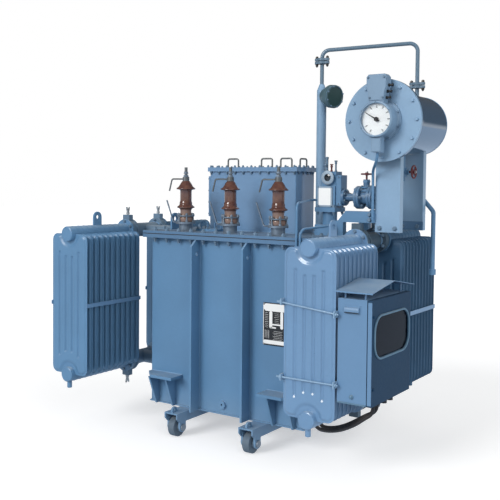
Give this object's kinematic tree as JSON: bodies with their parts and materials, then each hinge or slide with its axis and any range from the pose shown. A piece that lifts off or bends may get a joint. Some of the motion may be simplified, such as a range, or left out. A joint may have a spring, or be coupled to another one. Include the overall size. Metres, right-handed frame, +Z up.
{
  "type": "power transformer",
  "caption": "Oil-filled power transformer with side radiators, end conservator, top bushings and a cable box, on rollers.",
  "frame": {"origin": "middle of the outline's box, on the ground under the rollers", "axes": "+X along the front wall towards the conservator, +Y from the bushing side to the rear, +Z up"},
  "size_m": [2.4042, 1.527, 2.5317],
  "materials": {
    "blue_paint": "satin",
    "dark_paint": "satin",
    "red_paint": "satin",
    "porcelain": "gloss",
    "galvanised": "satin",
    "gasket": "matt",
    "steel": "satin",
    "cast_roller": "matt",
    "pointer_black": "matt",
    "dial_white": "matt",
    "glass": "polished",
    "smoked_glass": "polished",
    "plate_black": "satin",
    "cable_sheath": "matt",
    "diaphragm": "matt"
  },
  "bodies": {
    "transformer": {"base_beam_left": "blue_paint", "base_beam_right": "blue_paint", "box_clamps": "blue_paint", "breather_pipe": "blue_paint", "cable_glands": "blue_paint", "conservator_arms": "blue_paint", "conservator_drum": "blue_paint", "conservator_end_cover": "blue_paint", "conservator_legs": "blue_paint", "control_cable_inner": "cable_sheath", "control_cable_outer": "cable_sheath", "cover_conduits": "blue_paint", "cover_fittings": "blue_paint", "cover_gasket": "gasket", "drain_valve": "blue_paint", "equalising_pipe": "blue_paint", "gas_relay": "blue_paint", "gauge_glass": "glass", "hv_bushing_left": "porcelain", "hv_bushing_middle": "porcelain", "hv_bushing_right": "porcelain", "hv_clamp_rings": "blue_paint", "hv_terminals": "galvanised", "jacking_pads": "blue_paint", "lv_box": "blue_paint", "lv_box_handles": "blue_paint", "lv_box_lid": "blue_paint", "marshalling_box": "blue_paint", "marshalling_roof": "blue_paint", "oil_level_gauge": "blue_paint", "oil_pipe": "blue_paint", "radiator_bands": "blue_paint", "radiator_front_left": "blue_paint", "radiator_front_right": "blue_paint", "radiator_pipes_left": "blue_paint", "radiator_pipes_right": "blue_paint", "radiator_rear_left": "blue_paint", "radiator_rear_right": "blue_paint", "rating_plate": "plate_black", "roller_axles": "steel", "tank_body": "blue_paint", "tank_cover": "blue_paint", "tank_rim": "blue_paint", "vent_diaphragm": "diaphragm", "vent_pipe": "blue_paint", "wall_stiffeners": "blue_paint"},
    "roller_front_left": {"roller_front_left": "cast_roller"},
    "roller_front_right": {"roller_front_right": "cast_roller"},
    "roller_rear_left": {"roller_rear_left": "cast_roller"},
    "roller_rear_right": {"roller_rear_right": "cast_roller"},
    "box_door": {"marshalling_door": "blue_paint", "door_window": "smoked_glass"},
    "gate_handwheel": {"gate_handwheel": "red_paint"},
    "drain_handwheel": {"drain_handwheel": "red_paint"},
    "gauge_pointer": {"gauge_pointer": "pointer_black"},
    "valve_handle_top_front": {"valve_handle_top_front": "galvanised"},
    "valve_handle_top_rear": {"valve_handle_top_rear": "galvanised"},
    "valve_handle_bottom_front": {"valve_handle_bottom_front": "galvanised"}
  },
  "joints": [
    {"name": "roller_front_left_spin", "type": "hinge", "parent": "transformer", "child": "roller_front_left", "pos_m": [-0.31385, -0.4915, 0.062], "axis": [1, 0, 0], "continuous": true},
    {"name": "roller_front_right_spin", "type": "hinge", "parent": "transformer", "child": "roller_front_right", "pos_m": [0.26215, -0.4915, 0.062], "axis": [1, 0, 0], "continuous": true},
    {"name": "roller_rear_left_spin", "type": "hinge", "parent": "transformer", "child": "roller_rear_left", "pos_m": [-0.31385, 0.4285, 0.062], "axis": [1, 0, 0], "continuous": true},
    {"name": "roller_rear_right_spin", "type": "hinge", "parent": "transformer", "child": "roller_rear_right", "pos_m": [0.26215, 0.4285, 0.062], "axis": [1, 0, 0], "continuous": true},
    {"name": "box_door_hinge", "type": "hinge", "parent": "transformer", "child": "box_door", "pos_m": [1.13595, -0.2155, 0.469], "axis": [0, 0, 1], "range_deg": [0, 120]},
    {"name": "gate_valve_spindle", "type": "hinge", "parent": "transformer", "child": "gate_handwheel", "pos_m": [0.78915, -0.0365, 1.693], "axis": [0, 0, 1], "continuous": true},
    {"name": "drain_valve_spindle", "type": "hinge", "parent": "transformer", "child": "drain_handwheel", "pos_m": [1.03715, 0.0985, 1.708], "axis": [1, 0, 0], "continuous": true},
    {"name": "gauge_pointer_pivot", "type": "hinge", "parent": "transformer", "child": "gauge_pointer", "pos_m": [0.96215, -0.2815, 2.002], "axis": [0, 1, 0], "range_deg": [-60, 150]},
    {"name": "valve_top_front_turn", "type": "hinge", "parent": "transformer", "child": "valve_handle_top_front", "pos_m": [-1.03685, -0.1675, 1.397], "axis": [0, 0, 1], "range_deg": [0, 90]},
    {"name": "valve_top_rear_turn", "type": "hinge", "parent": "transformer", "child": "valve_handle_top_rear", "pos_m": [-1.03685, 0.1675, 1.397], "axis": [0, 0, 1], "range_deg": [0, 90]},
    {"name": "valve_bottom_front_turn", "type": "hinge", "parent": "transformer", "child": "valve_handle_bottom_front", "pos_m": [-1.03685, -0.1675, 0.236], "axis": [0, 0, 1], "range_deg": [0, 90]}
  ]
}
